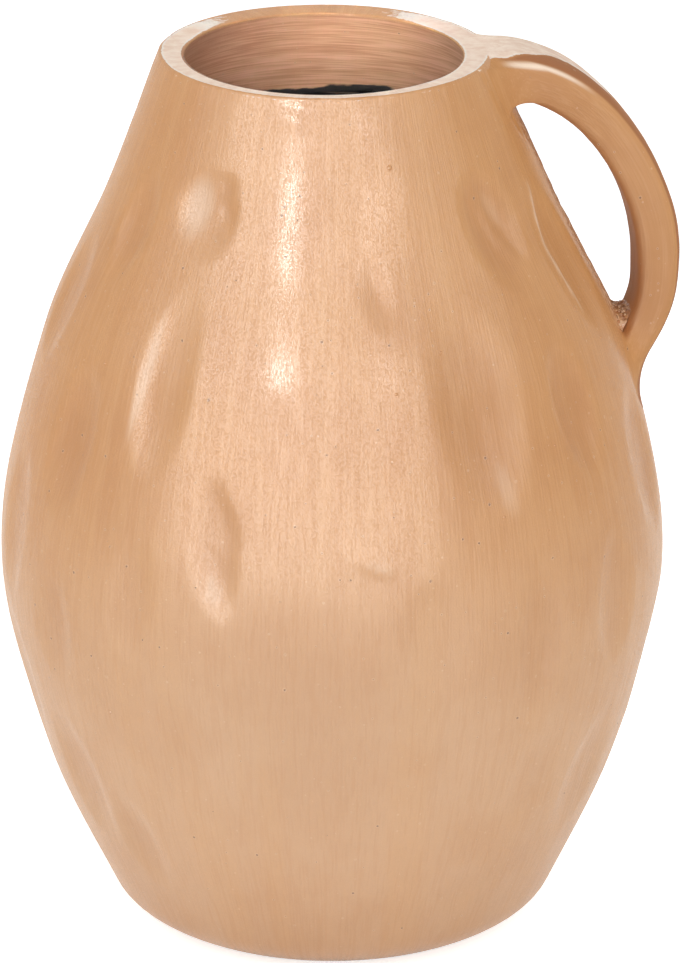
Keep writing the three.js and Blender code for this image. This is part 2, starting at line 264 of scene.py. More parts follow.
def wallPlace(angle, z, lift=0.0):
    # the finished outer wall, at an angle from the handle and a height
    sizes = potSizes
    radius = potRadius(z)
    depth = pressDepth(angle, z, radius)
    if z < sizes["footEaseHeight"]:
        radius -= sizes["footEase"] * (1 - z / sizes["footEaseHeight"]) ** 2.5
    plain = Vector((radius * cos(angle), radius * sin(angle), z))
    full = sizes["unevenFrom"]
    fade = smoothStep(z, 0.0, full) * (1 - nearLip(z, full))
    depth += fade * sizes["unevenness"] * waves(plain, sizes["unevenWaves"])
    long, short = sizes["nickWaves"]
    nicks = waves(plain, long) + max(0.0, 3 * waves(plain, short, 7.0) - 2)
    depth += nearLip(z, sizes["nicksUnder"]) * sizes["lipNicks"] * nicks
    underRim = nearLip(z, *sizes["lumpsUnder"]) * smoothStep(-sin(angle), 0.75, 0.95)
    depth -= underRim * sizes["lipLumps"] * smoothStep(waves(plain, sizes["lumpWaves"], 4.0), 0.45, 0.75)
    long, short = sizes["missedWaves"]
    ragged = waves(plain, short, 6.0) + waves(plain, long, 8.0) - 0.5
    depth += missedShare(angle, z) * sizes["missedDepth"] * ragged
    radius += lift - depth
    oval = mix(1, sizes["lipOval"], neckShare(z))
    return Vector((radius * cos(angle) + leanAt(z), radius * sin(angle) * oval, z))


def hollowRadius(z):
    return potRadius(z) - mix(potSizes["wall"], potSizes["lipWall"], neckShare(z))


def hollowPlace(angle, z, radius):
    up = neckShare(z)
    y = radius * sin(angle) * mix(1, potSizes["mouthOval"], up) - potSizes["mouthShift"] * up
    return Vector((radius * cos(angle) + leanAt(z) - potSizes["mouthAside"] * up, y, z))


def rimHeight(angle):
    fromHandle = abs((degrees(angle) + 180) % 360 - 180)
    return potHeight - potSizes["rimDip"] * (1 - smoothStep(fromHandle, *potSizes["dipEnds"]))


def walkOverPot(angle, rise, lift=0.0):
    # a place on the wall at a height, or past the lip's eased edge and inwards over the flat rim
    ease = potSizes["lipEase"]
    edge = potHeight - ease
    if rise < edge:
        return wallPlace(angle, rise, lift)
    turn = min((rise - edge) / ease, pi / 2)
    inward = ease * (1 - cos(turn)) + max(0.0, rise - edge - ease * pi / 2)
    place = wallPlace(angle, edge + ease * sin(turn), lift * cos(turn) - inward)
    place.z += lift * sin(turn) - (potHeight - rimHeight(angle)) * sin(turn)
    return place


def addObject(name, data):
    made = bpy.data.objects.new(name, data)
    bpy.context.scene.collection.objects.link(made)
    return made


def addMesh(name, mesh):
    data = bpy.data.meshes.new(name)
    mesh.to_mesh(data)
    mesh.free()
    return addObject(name, data)


def mergeDoubles(mesh):
    bmesh.ops.remove_doubles(mesh, verts=mesh.verts, dist=1e-6)


def closeTube(mesh):
    # merging its doubles shuts a grid that was rolled into a tube, and its two open ends are filled
    mergeDoubles(mesh)
    bmesh.ops.holes_fill(mesh, edges=[edge for edge in mesh.edges if edge.is_boundary], sides=0)


def newPiece(name, mesh, slot, *replaced):
    # a closed mesh becomes a piece that rides on the vase and stands for its CAD nodes
    mergeDoubles(mesh)
    bmesh.ops.recalc_face_normals(mesh, faces=mesh.faces)
    for face in mesh.faces:
        face.smooth = True
    piece = addMesh(name, mesh)
    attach(piece, "root")
    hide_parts(*replaced)
    return piece


def addLayers(mesh):
    # "brushing" runs with the brush strokes, and the others are masks: clay sanded bare, blackened by the
    # black coat and by a painted shadow, darker where shade is painted and slip pooled, paler where a
    # highlight is painted, rough where it was left unbrushed, the bare inside of the neck, and where the
    # sealer is thin and dull
    layers = {"brushing": mesh.verts.layers.float_vector.new("brushing")}
    for name in ("sanded", "blackened", "shadeAndPooling", "paintedHighlight", "rough", "inside", "dull"):
        layers[name] = mesh.verts.layers.float.new(name)
    return layers


def spinOutline(outline, sides, layer):
    # spins an outline of radii, heights and values round the vase's middle, and a layer keeps the values
    mesh = bmesh.new()
    layers = addLayers(mesh)
    kept = mesh.verts.layers.float.new(layer)
    last = None
    for radius, z, value in outline:
        vert = mesh.verts.new((max(radius, 0.0), 0, z))
        vert[kept] = value
        if last:
            mesh.edges.new((last, vert))
        last = vert
    bmesh.ops.spin(mesh, geom=mesh.verts[:] + mesh.edges[:], cent=(0, 0, 0), axis=(0, 0, 1),
                   angle=2 * pi, steps=sides, use_merge=True)
    return mesh, layers, kept


# how fast the "brushing" coordinates run: slowly along a stroke and fast across it
brushSizes = {
    "wallAlong": 0.065, "neckAlong": 0.05, "strapAlong": 0.04,
    "wallAcross": 0.12, "across": 1.5,
    "strapStart": 0.014,  # where the wall's strokes are when they reach the strap's foot
}


def wallBrushing(place):
    # up the wall: the strokes are long in Z and thin round the pot
    angle = atan2(place.y, place.x)
    across, along = brushSizes["wallAcross"], brushSizes["wallAlong"]
    return Vector((cos(angle) * across, sin(angle) * across, place.z * along))


def neckBrushing(place):
    # round the inside of the neck: the strokes are thin in Z
    along = brushSizes["neckAlong"]
    return Vector((place.x * along, place.y * along, place.z * brushSizes["across"]))


def hollowOutline(top, rows):
    # down the hollow to the middle of its floor: the radius, the height and the way out of the clay
    fillet = potSizes["floorFillet"]
    filletTurn = pi / 2 - atan(potSlope(0))
    low = potSizes["floor"] + fillet * (1 - cos(filletTurn))
    middle = hollowRadius(low) - fillet * sin(filletTurn)
    outline = []
    step = 0.0005
    for i in range(rows + 1):
        z = mix(top, low, (i / rows) ** 1.6)
        steep = atan2(hollowRadius(z) - hollowRadius(z - step), step)
        outline.append((hollowRadius(z), z, cos(steep), sin(steep)))
    filletSteps = 8
    for i in range(1, filletSteps + 1):
        turn = filletTurn * (1 - i / filletSteps)
        outline.append((middle + fillet * sin(turn), potSizes["floor"] + fillet * (1 - cos(turn)),
                        sin(turn), cos(turn)))
    outline.append((middle / 2, potSizes["floor"], 0, 1))
    outline.append((0.0, potSizes["floor"], 0, 1))
    return outline


# the pot's outline, from the middle of its underside up the wall, over the lip and down to its floor:
# the radius, the height, and how far inwards each place lies, from 0 on the wall to 1 in the hollow
def potOutline():
    ease = potSizes["lipEase"]
    thickness = potSizes["lipWall"]

    def overLip(z, inward):
        return lipRadius - inward, z, inward / thickness

    outline = [(0.0, 0.0, -1), (0.05, 0.0, -1), (potRadius(0) - potSizes["footEase"] - 0.003, 0.0, -1)]
    footRows = 12
    for i in range(footRows):
        z = potSizes["footEaseHeight"] * (i / footRows) ** 2
        outline.append((potRadius(z), z, 0))
    top = potHeight - ease
    for i in range(potSizes["rowsOutside"] + 1):
        z = mix(potSizes["footEaseHeight"], top, i / potSizes["rowsOutside"])
        outline.append((potRadius(z), z, 0))
    easeRows = 4
    for i in range(1, easeRows + 1):
        turn = pi / 2 * i / easeRows
        outline.append(overLip(top + ease * sin(turn), ease * (1 - cos(turn))))
    flatRows = 6
    for i in range(1, flatRows):
        outline.append(overLip(potHeight, mix(ease, thickness - ease, i / flatRows)))
    for i in range(easeRows + 1):
        turn = pi / 2 * i / easeRows
        outline.append(overLip(top + ease * cos(turn), thickness - ease * (1 - sin(turn))))
    for radius, z, *_ in hollowOutline(top, potSizes["rowsInside"])[1:]:
        outline.append((radius, z, 1 if z > neckHeight / 2 else -1))
    return outline


# the black coat that lines the hollow
coatSizes = {
    "top": 0.3118,
    "ragged": 0.005,  # how far its upper edge strays
    "straggles": (0.35, 0.06),  # how long the waves in that edge are, on a circle of radius 1
    "smear": 0.005,  # how far thin streaks of it run on above
    "bent": 0.02,  # how far under the neck it starts to follow the edge
    "clear": 0.00012, "thickness": 0.0005,
    "rows": 60, "sides": 192,
}


def coatTop(angle):
    around = Vector((cos(angle), sin(angle), 0))
    long, short = coatSizes["straggles"]
    stray = waves(around, long, 9.0) - 0.4 + 0.3 * waves(around, short, 2.0)
    return coatSizes["top"] + coatSizes["ragged"] * stray


# warts on the wall: degrees round from the handle, share of the height, and the radius
warts = [
    (-79.5, 0.926, 0.0012), (-85, 0.702, 0.0007), (-74, 0.737, 0.0007),
    (-36, 0.770, 0.0006), (-33, 0.742, 0.0005), (-27, 0.700, 0.0006),
    (-44, 0.590, 0.0006), (-57, 0.535, 0.0006), (-66, 0.560, 0.0007),
    (-52, 0.620, 0.0005), (-150, 0.700, 0.0006), (-141, 0.320, 0.0007),
]
wartSunk = 0.45  # how far inside the wall a wart's middle lies, as a share of its radius


def nearTurn(angle, turn, reach):
    # 1 near a turn, fading out as far from it as the reach
    away = abs((degrees(angle) - turn + 540) % 360 - 180)
    return 1 - smoothStep(away, reach * 0.5, reach)


def wallMasks(angle, z):
    sizes = potSizes
    missed = missedShare(angle, z)
    pressed, paintedHighlight = (pressDepth(angle, z, potRadius(z), dents) / pressSizes["depth"]
                       for dents in (presses, highlightSpots))
    # the presses' hollows get painted shade, the wall behind the handle is darker, and the pale spots are
    # painted highlights
    return {
        "sanded": sizes["sandedOutside"] * nearLip(z, *sizes["sandedBand"]),
        "shadeAndPooling": sizes["shadeAndPooling"] * smoothStep(pressed, 0.1, 1.1) + sizes["missedDarker"] * missed,
        "paintedHighlight": min(paintedHighlight, 1.0),
        "rough": missed,
        "dull": missed,
    }


def lipMasks(angle, z, share):
    # over the rim, whose inner edge carries a painted shadow at the left, and down the hollow
    sizes = potSizes
    edge = sizes["lipEase"] / sizes["lipWall"]
    onEdge = smoothStep(share, 1 - 1.9 * edge, 1 - 1.2 * edge) * nearTurn(angle, *sizes["innerEdgeTurn"])
    onEdge *= nearLip(z, *sizes["sandedBand"])
    # a painted shadow along the inner edge at the left, darkened and partly black
    masks = {"blackened": sizes["innerEdgeBlack"] * onEdge, "shadeAndPooling": onEdge * sizes["innerEdgeShadow"]}
    if share < 1:
        # the back of the rim was sanded less than the front
        behind = smoothStep(sin(angle), 0.45, 0.95)
        sanded = smoothStep(min(share, 1 - share), 0.0, 2 * edge) * mix(1, sizes["sandedBehind"], behind)
    else:
        # the neck is in shadow at the left
        sanded = sizes["sandedInside"] * nearLip(z, sizes["sandedBand"][0])
        blackened = 1 - smoothStep(z - coatTop(angle), 0.0, coatSizes["smear"])
        shaded = sizes["shaded"] * nearTurn(angle, *sizes["shadedTurn"])
        masks = {"blackened": max(blackened, masks["blackened"]), "shadeAndPooling": max(masks["shadeAndPooling"], shaded),
                 "inside": 1.0}
    masks["sanded"] = sanded * (1 - min(1.0, onEdge * 2))
    return masks


def makePot():
    mesh, layers, inward = spinOutline(potOutline(), potSizes["sides"], "inward")
    mergeDoubles(mesh)
    for vert in mesh.verts:
        place, share = vert.co.copy(), vert[inward]
        angle = atan2(place.y, place.x)
        if share >= 0:
            inner = hollowPlace(angle, place.z, hollowRadius(place.z))
            vert.co = wallPlace(angle, place.z).lerp(inner, share)
        if 0 < share < 1:
            vert.co.z -= potHeight - rimHeight(angle)
        if share > 0:
            masks = lipMasks(angle, place.z, share)
        elif share == 0 and place.z > 0:
            masks = wallMasks(angle, place.z)
        else:
            masks = {"sanded": potSizes["sandedUnder"] if place.z == 0 else 0.0}
        isInside = share == 1 or (share == -1 and place.z > 0)
        masks["brushing"] = neckBrushing(vert.co) if isInside else wallBrushing(vert.co)
        for name, value in masks.items():
            vert[layers[name]] = value
    mesh.verts.layers.float.remove(mesh.verts.layers.float["inward"])
    # warts and grains of clay caught under the slip
    for turn, up, size in warts:
        angle, z = radians(turn), up * potHeight
        for vert in bmesh.ops.create_icosphere(mesh, subdivisions=2, radius=size)["verts"]:
            vert.co += wallPlace(angle, z, -size * wartSunk)
            vert[layers["brushing"]] = wallBrushing(vert.co)
    return newPiece("pot", mesh, "clay", "body")


pot = makePot()
print("pot made")


# the pulled strap handle
handleSizes = {
    "width": 0.026, "rootWidth": 0.0375, "footWidth": 0.036,
    "thickness": 0.0182, "footThickness": 0.015,
    "topGap": 0.0003,  # how far its sanded top lies under the lip's plane
    "crest": 0.0012,  # how much clay the sanding took off its top
    "crestEnds": (0.12, 0.4),
    "rootBite": 0.005, "footBite": 0.012,  # how far its ends run into the wall
    "fingerRoom": 0.016,
    "crownHeight": 0.75 * potHeight,
    "footHeight": 0.643 * potHeight,
    "footSlant": 31,
    "cornerOutside": 0.50, "cornerInside": 0.38, "cornerFoot": 0.9,  # 1 is round and smaller is squarer
    "unevenness": 0.0006,
    "unevenWaves": (0.018, 0.007),
    "dull": 0.9,  # how thin the sealer is on the strap, so that it shines less than the wall
    "rows": 150, "filletRows": 12, "sides": 96,
}

# where along the strap, from 0 at its root to 1 at its foot, it changes, and how far its curve holds its
# direction, as shares of its reach out from the lip, its drop to the crown and its fall to the foot
strapShares = {
    "slimmed": 0.4, "thinsFrom": 0.62, "thinned": 0.92, "widensFrom": 0.82,
    "rootHold": 0.57, "crownHoldAbove": 0.44, "crownHoldBelow": 0.5, "footHold": 0.5,
}

# for each end, a share along the strap that is in the wall and one that is clear of it
strapEnds = {"root": (0.0, 0.3), "foot": (1.0, 0.75)}


def strapCentres():
    # evenly spaced places along the strap's middle line, from its root to its foot, and its length
    sizes, shares = handleSizes, strapShares
    rootZ = potHeight - sizes["topGap"] - sizes["thickness"] / 2
    rootX = lipRadius - potSizes["lean"]
    crownX = potRadius(sizes["crownHeight"]) + sizes["fingerRoom"] + sizes["thickness"] / 2
    footX = potRadius(sizes["footHeight"])
    out = crownX - rootX
    drop = rootZ - sizes["crownHeight"]
    fall = sizes["crownHeight"] - sizes["footHeight"]
    slant = radians(sizes["footSlant"])

    def alongFoot(reach):
        return Vector((footX + reach * sin(slant), 0, sizes["footHeight"] + reach * cos(slant)))

    root = Vector((rootX, 0, rootZ))
    crown = Vector((crownX, 0, sizes["crownHeight"]))
    line = [Vector((rootX - sizes["rootBite"], 0, rootZ))]
    line += geometry.interpolate_bezier(root, root + Vector((shares["rootHold"] * out, 0, 0)),
                                        crown + Vector((0, 0, shares["crownHoldAbove"] * drop)), crown, 400)
    line += geometry.interpolate_bezier(crown, crown - Vector((0, 0, shares["crownHoldBelow"] * fall)),
                                        alongFoot(shares["footHold"] * fall),
                                        alongFoot(-sizes["footBite"]), 200)[1:]
    reached = [0.0]
    for before, after in zip(line, line[1:]):
        reached.append(reached[-1] + (after - before).length)
    centres = []
    steps = 600
    i = 0
    for k in range(steps + 1):
        want = reached[-1] * k / steps
        while i < len(line) - 2 and reached[i + 1] < want:
            i += 1
        centres.append(line[i].lerp(line[i + 1], (want - reached[i]) / (reached[i + 1] - reached[i])))
    return centres, reached[-1]


centres, strapLength = strapCentres()


def strapMiddle(along):
    # the middle line's place and its outward direction
    at = min(max(along, 0.0), 1.0) * (len(centres) - 1)
    i = min(int(at), len(centres) - 2)
    before, after = centres[max(i - 3, 0)], centres[min(i + 4, len(centres) - 1)]
    outward = (after - before).cross(Vector((0, 1, 0))).normalized()
    return centres[i].lerp(centres[i + 1], at - i), outward


def strapPlace(along, turn):
    # a place on the strap's skin: 0 is its back edge, a quarter turn its outer face
    sizes, shares = handleSizes, strapShares
    fromRoot = smoothStep(along, 0, shares["slimmed"])
    intoFoot = smoothStep(along, shares["widensFrom"], 1)
    toThin = smoothStep(along, shares["thinsFrom"], shares["thinned"])
    width = mix(mix(sizes["rootWidth"], sizes["width"], fromRoot), sizes["footWidth"], intoFoot)
    thickness = mix(sizes["thickness"], sizes["footThickness"], toThin)
    isOuter = sin(turn) > 0
    corner = mix(sizes["cornerOutside"] if isOuter else sizes["cornerInside"], sizes["cornerFoot"], intoFoot)
    across = copysign(abs(cos(turn)) ** corner, cos(turn)) * width / 2
    outwards = copysign(abs(sin(turn)) ** corner, sin(turn)) * thickness / 2
    if isOuter:
        outwards += sizes["crest"] * (1 - smoothStep(along, *sizes["crestEnds"])) * sin(turn) ** 2
    middle, outward = strapMiddle(along)
    place = middle + Vector((0, across, 0)) + outward * outwards
    long, short = sizes["unevenWaves"]
    dent = sizes["unevenness"] * (waves(place, long, 3.0) + 0.4 * waves(place, short, 5.0))
    return middle + (place - middle) * (1 - dent / max((place - middle).length, 0.004))


def clearOfWall(place):
    # how far outside the pot's wall a place is
    z = min(place.z, potHeight)
    angle = atan2(place.y / mix(1, potSizes["lipOval"], neckShare(z)), place.x - leanAt(z))
    wall = wallPlace(angle, z)
    return hypot(place.x - leanAt(z), place.y) - hypot(wall.x - leanAt(z), wall.y)


def whereItMeets(turn, inWall, clear):
    # the share along the strap at which its skin leaves the wall
    for _ in range(24):
        middle = (inWall + clear) / 2
        if clearOfWall(strapPlace(middle, turn)) < 0:
            inWall = middle
        else:
            clear = middle
    return clear


def sandedFlat(place):
    # the top is sanded level with the rim, so what stands higher is cut off
    return Vector((place.x, place.y, min(place.z, potHeight - handleSizes["topGap"] + 0.0001)))


# the pale sanded top runs on from the rim and tapers along the strap's back: its front edge as places in
# X and Y, where it fades out, and a dark band between it and the strap's front corner, slip pooled there with
# painted shade
sandedTop = {
    "frontEdge": [(0.058, -0.0165), (0.066, -0.0150), (0.072, -0.0118), (0.078, -0.0099), (0.084, -0.0058),
                  (0.092, -0.0036), (0.125, -0.0040)],
    "fades": (0.098, 0.118),
    "bandFrom": (0.060, 0.066),  # these are in X
    "highlightFrom": (0.062, 0.070), "highlightTo": (0.086, 0.104),
    "rimTo": (0.063, 0.068),
    "rimUnder": (0.0012, 0.0006),  # how far under the lip the rim's own sanding reaches
    "softness": 0.0012,
    # how dark the band is, how dark the painted shade on the strap's outer face is, and how pale the painted
    # highlight along its front corner is
    "pooledShadedBand": 1.0, "outerFaceShade": 0.95, "cornerHighlight": 0.9,
}


def handleMasks(place, turn):
    # where the strap is sanded bare, where shade is painted and slip pooled, where a highlight is painted,
    # and how dull it is
    sizes = sandedTop
    edge = sizes["frontEdge"]
    i = 0
    while i < len(edge) - 2 and place.x > edge[i + 1][0]:
        i += 1
    (x0, y0), (x1, y1) = edge[i], edge[i + 1]
    behindEdge = place.y - mix(y0, y1, min(max((place.x - x0) / (x1 - x0), 0.0), 1.0))
    facing = sin(turn)
    facesOut = smoothStep(facing, 0.35, 0.6)
    faded = 1 - smoothStep(place.x, *sizes["fades"])
    sanded = smoothStep(behindEdge, -sizes["softness"], sizes["softness"]) * faded
    # the band darkens between the sanding and the front corner, and past the sanding the outer face takes
    # painted shade
    inBand = smoothStep(-behindEdge, 0.0, sizes["softness"]) * smoothStep(place.x, *sizes["bandFrom"])
    beforeCorner = smoothStep(facing, 0.55, 0.72)
    shadeAndPooling = mix(sizes["outerFaceShade"], sizes["pooledShadedBand"] * inBand, faded)
    # a painted highlight along the strap's front corner, which stops at the rim
    onCorner = between(facing, 0.36, 0.50, 0.54, 0.68)
    onCorner *= smoothStep(-cos(turn), 0.0, 0.3) * smoothStep(place.x, *sizes["highlightFrom"])
    paintedHighlight = sizes["cornerHighlight"] * onCorner * (1 - smoothStep(place.x, *sizes["highlightTo"]))
    onRim = nearLip(place.z, *sizes["rimUnder"]) * (1 - smoothStep(place.x, *sizes["rimTo"]))
    paintedHighlight *= 1 - onRim
    return {
        "sanded": max(sanded * facesOut, onRim),
        "shadeAndPooling": shadeAndPooling * beforeCorner * (1 - onRim),
        "paintedHighlight": paintedHighlight,
        "dull": handleSizes["dull"] * (1 - paintedHighlight),
    }


# how far each end's fillet reaches along the strap and over the wall, at the sides, outside and inside, how
# thick it lies on the wall, and how far past its reach and how deep its edge then sinks into the wall
filletSizes = {
    "root": {"strap": (0.020, 0.006, 0.003), "wall": (0.018, 0.0045, 0.003)},
    "foot": {"strap": (0.012, 0.014, 0.003), "wall": (0.010, 0.014, 0.003)},
    "thin": 0.00006,
    "sinks": ((0.0012, 0.00005), (0.0030, 0.0004), (0.0020, 0.0030)),
}


def reachOf(kind, end, turn):
    side, outside, inside = filletSizes[end][kind]
    facing = sin(turn)
    return mix(side, outside if facing > 0 else inside, smoothStep(abs(facing), 0.35, 0.95))


def strapBrushing(place, along):
    # along the strap: the strokes are long in its own direction, and start out like the wall's
    middle, outward = strapMiddle(along)
    lifted = (place - middle).dot(outward)
    sizes = brushSizes
    return Vector((sizes["wallAcross"] + along * strapLength * sizes["strapAlong"], place.y * sizes["across"],
                   sizes["strapStart"] + sizes["across"] * lifted))


def filletRows(end, turn, meets, middleOnWall):
    # one fillet's places, from where it leaves the strap to where it has sunk into the wall
    direction = 1 if end == "root" else -1
    along = meets + direction * reachOf("strap", end, turn) / strapLength
    start, corner = strapPlace(along, turn), strapPlace(meets, turn)
    radius = potRadius(min(corner.z, potHeight))
    cornerAngle = atan2(corner.y, corner.x - leanAt(corner.z))
    middleAngle = atan2(middleOnWall.y, middleOnWall.x - leanAt(middleOnWall.z))
    away = Vector(((cornerAngle - middleAngle) * radius, corner.z - middleOnWall.z)).normalized()
    reach = reachOf("wall", end, turn)

    def onWall(distance, lift):
        return walkOverPot(cornerAngle + away.x * distance / radius, corner.z + away.y * distance, lift)

    rows = []
    steps = handleSizes["filletRows"]
    for i in range(steps + 1):
        t = i / steps
        bent = start.lerp(corner, t).lerp(corner.lerp(onWall(reach, 0.0), t), t)
        laid = onWall(reach * (2 * t - 1), filletSizes["thin"]) if t > 0.5 else bent
        place = bent.lerp(laid, smoothStep(t, 0.7, 1))
        rows.append((place, strapBrushing(place, along).lerp(wallBrushing(place), smoothStep(t, 0, 0.9))))
    for further, sunk in filletSizes["sinks"]:
        place = onWall(reach + further, -sunk)
        rows.append((place, wallBrushing(place)))
    return rows


def makeHandle():
    sizes = handleSizes
    middleAtRoot, _ = strapMiddle(sizes["rootBite"] / strapLength)
    middleAtFoot, _ = strapMiddle(1 - sizes["footBite"] / strapLength)
    columns = []
    for k in range(sizes["sides"]):
        turn = 2 * pi * k / sizes["sides"]
        fromRoot = whereItMeets(turn, *strapEnds["root"])
        toFoot = whereItMeets(turn, *strapEnds["foot"])
        first = fromRoot + reachOf("strap", "root", turn) / strapLength
        last = toFoot - reachOf("strap", "foot", turn) / strapLength
        column = filletRows("root", turn, fromRoot, middleAtRoot)[::-1]
        for i in range(1, sizes["rows"]):
            along = mix(first, last, i / sizes["rows"])
            place = strapPlace(along, turn)
            column.append((place, strapBrushing(place, along)))
        column += filletRows("foot", turn, toFoot, middleAtFoot)
        columns.append(column)

    # a flat grid is rolled into a tube
    mesh = bmesh.new()
    layers = addLayers(mesh)
    rows = len(columns[0]) - 1
    bmesh.ops.create_grid(mesh, x_segments=sizes["sides"], y_segments=rows, size=0.5)
    for vert in mesh.verts:
        k = round((vert.co.x + 0.5) * sizes["sides"]) % sizes["sides"]
        j = round((vert.co.y + 0.5) * rows)
        place, stroke = columns[k][j]
        vert.co = sandedFlat(place)
        vert[layers["brushing"]] = stroke
        for name, value in handleMasks(place, 2 * pi * k / sizes["sides"]).items():
            vert[layers[name]] = value
    closeTube(mesh)
    return newPiece("strap_handle", mesh, "clay", "handle")


handle = makeHandle()
print("handle made")


# the slip in the corners behind the handle's ends: how far each roll reaches along the wall and the strap,
# which way it runs on the wall, and how many crumbs it has
slipSizes = {
    "root": {"size": 0.0062, "step": -1, "crumbs": 12},
    "foot": {"size": 0.0100, "step": 1, "crumbs": 70},
    "width": 0.0225,
    "face": 0.6,  # how much of its section shows
    "fullness": 0.28,  # how far out of the corner the hollow face is drawn
    "buried": 0.5,
    "lumps": 0.0009, "lumpWaves": (0.0016, 0.0007), "unevenWaves": 0.004,
    "crumbSize": 0.0007,
    "crumbsWithin": 0.9,  # the share of the width that has crumbs
    "rows": 64, "sides": 40,
}


def slipSection(size, onWall, onStrap, share):
    # once round the roll: over its hollow face, then back through the corner, where it is buried
    face = slipSizes["face"]
    out = (onWall + onStrap) * size
    start, end, pull, t = onWall, onStrap, slipSizes["fullness"], share / face
    if share >= face:
        start, end, pull, t = onStrap, onWall, -slipSizes["buried"], (share - face) / (1 - face)
    return (1 - t) ** 2 * start * size + 2 * t * (1 - t) * out * pull + t**2 * end * size


def makeSlip(name, end, node):
    sizes, here = slipSizes, slipSizes[end]
    turn = -pi / 2
    inWall, clear = strapEnds[end]
    meets = whereItMeets(turn, inWall, clear)
    corner = strapPlace(meets, turn)
    further = strapPlace(meets + (clear - inWall) * 0.1, turn)
    onStrap = (further - corner).normalized()
    step = here["step"] * here["size"]
    onWall = (wallPlace(0, corner.z + step) - wallPlace(0, corner.z)).normalized()
    radius = potRadius(corner.z)

    def cornerAt(y):
        return corner + Vector((sqrt(radius**2 - y**2) - radius, y, 0))

    def faceAt(y, share):
        taper = max(0.0, 1 - (2 * abs(y) / sizes["width"]) ** 4) ** 0.5
        lump = 0.75 + 0.5 * waves(Vector((y, 0, 0)), sizes["unevenWaves"], 2.0)
        return cornerAt(y) + slipSection(here["size"] * taper * lump, onWall, onStrap, share)

    mesh = bmesh.new()
    layers = addLayers(mesh)
    long, short = sizes["lumpWaves"]
    bmesh.ops.create_grid(mesh, x_segments=sizes["sides"], y_segments=sizes["rows"], size=0.5)
    for vert in mesh.verts:
        share = round((vert.co.x + 0.5) * sizes["sides"]) % sizes["sides"] / sizes["sides"]
        y = vert.co.y * sizes["width"]
        place = faceAt(y, share)
        middle = cornerAt(y) + (onWall + onStrap) * here["size"] * 0.1
        rough = waves(place, long, 1.0) * 0.6 + waves(place, short, 4.0) * 0.4 - 0.6
        vert.co = place + (place - middle).normalized() * rough * sizes["lumps"]
    closeTube(mesh)
    for i in range(here["crumbs"]):
        # loose crumbs that stuck to the slip while it was wet
        y = (noise.random() - 0.5) * sizes["width"] * sizes["crumbsWithin"]
        place = faceAt(y, 0.08 + 0.44 * noise.random())
        size = sizes["crumbSize"] * (0.5 + 0.9 * noise.random())
        crumb = bmesh.ops.create_icosphere(mesh, subdivisions=2, radius=size)["verts"]
        for vert in crumb:
            vert.co = vert.co * (0.75 + 0.5 * waves(vert.co, size * 0.9, i)) + place
    for vert in mesh.verts:
        vert[layers["brushing"]] = vert.co
        vert[layers["rough"]] = 1.0
    return newPiece(name, mesh, "clay", node)


noise.seed_set(7)
upperSlip = makeSlip("upper_slip", "root", "upper_slip_joint")
lowerSlip = makeSlip("lower_slip", "foot", "lower_slip_joint")
print("slip made")


def makeCoat():
    sizes = coatSizes
    skin = hollowOutline(sizes["top"], sizes["rows"])
    outline = []
    for depth, places in ((sizes["clear"], skin[::-1]), (sizes["clear"] + sizes["thickness"], skin)):
        outline += [(radius - nx * depth, z + nz * depth, depth) for radius, z, nx, nz in places]
    mesh, layers, offset = spinOutline(outline, sizes["sides"], "offset")
    bent = neckHeight - sizes["bent"]
    for vert in mesh.verts:
        angle = atan2(vert.co.y, vert.co.x)
        if vert.co.z > bent:
            nearTop = smoothStep(vert.co.z, bent, sizes["top"])
            z = vert.co.z + (coatTop(angle) - sizes["top"]) * nearTop
            thin = mix(vert[offset], sizes["clear"], smoothStep(nearTop, 0.9, 1))
            vert.co = hollowPlace(angle, z, hollowRadius(z) - thin)
        vert[layers["brushing"]] = neckBrushing(vert.co)
    mesh.verts.layers.float.remove(mesh.verts.layers.float["offset"])
    return newPiece("black_lining", mesh, "sealer", "sealing_coat")


coat = makeCoat()
print("lining made")


# shader nodes: sockets are set or linked by name or number
def setSockets(tree, node, sockets):
    for socket, value in sockets.items():
        if isinstance(value, bpy.types.NodeSocket):
            tree.links.new(value, node.inputs[socket])
        else:
            node.inputs[socket].default_value = value


def addNode(tree, kind, sockets=None, **settings):
    node = tree.nodes.new("ShaderNode" + kind)
    for name, value in settings.items():
        setattr(node, name, value)
    setSockets(tree, node, sockets or {})
    return node


def calculate(tree, operation, *values):
    return addNode(tree, "Math", dict(enumerate(values)), operation=operation).outputs[0]


def multiply(tree, first, second, plus=0.0):
    return calculate(tree, "MULTIPLY_ADD", first, second, plus)


def remap(tree, value, low, high, toLow=0.0, toHigh=1.0):
    sockets = {"Value": value, "From Min": low, "From Max": high, "To Min": toLow, "To Max": toHigh}
    return addNode(tree, "MapRange", sockets, interpolation_type="SMOOTHSTEP").outputs["Result"]


def mixColours(tree, share, first, second):
    return addNode(tree, "Mix", {0: share, 6: first, 7: second}, data_type="RGBA").outputs[2]


def noiseAt(tree, place, scale, detail=2.0, roughness=0.5):
    sockets = {"Vector": place, "Scale": scale, "Detail": detail, "Roughness": roughness}
    return addNode(tree, "TexNoise", sockets).outputs["Fac"]


def maskAt(tree, name, output="Fac"):
    return addNode(tree, "Attribute", attribute_name=name).outputs[output]


def heightAt(tree, place):
    return addNode(tree, "SeparateXYZ", {0: place}).outputs["Z"]


def startGroup(name, inputs, outputs):
    # a node group with named inputs, each with its usual value, and named outputs
    group = bpy.data.node_groups.new(name, "ShaderNodeTree")
    for socket, value in inputs.items():
        kind = "NodeSocketVector" if value is None else "NodeSocketFloat"
        made = group.interface.new_socket(socket, in_out="INPUT", socket_type=kind)
        if value is not None:
            made.default_value = value
    for socket in outputs:
        group.interface.new_socket(socket, in_out="OUTPUT", socket_type="NodeSocketFloat")
    return group, group.nodes.new("NodeGroupInput").outputs, group.nodes.new("NodeGroupOutput")


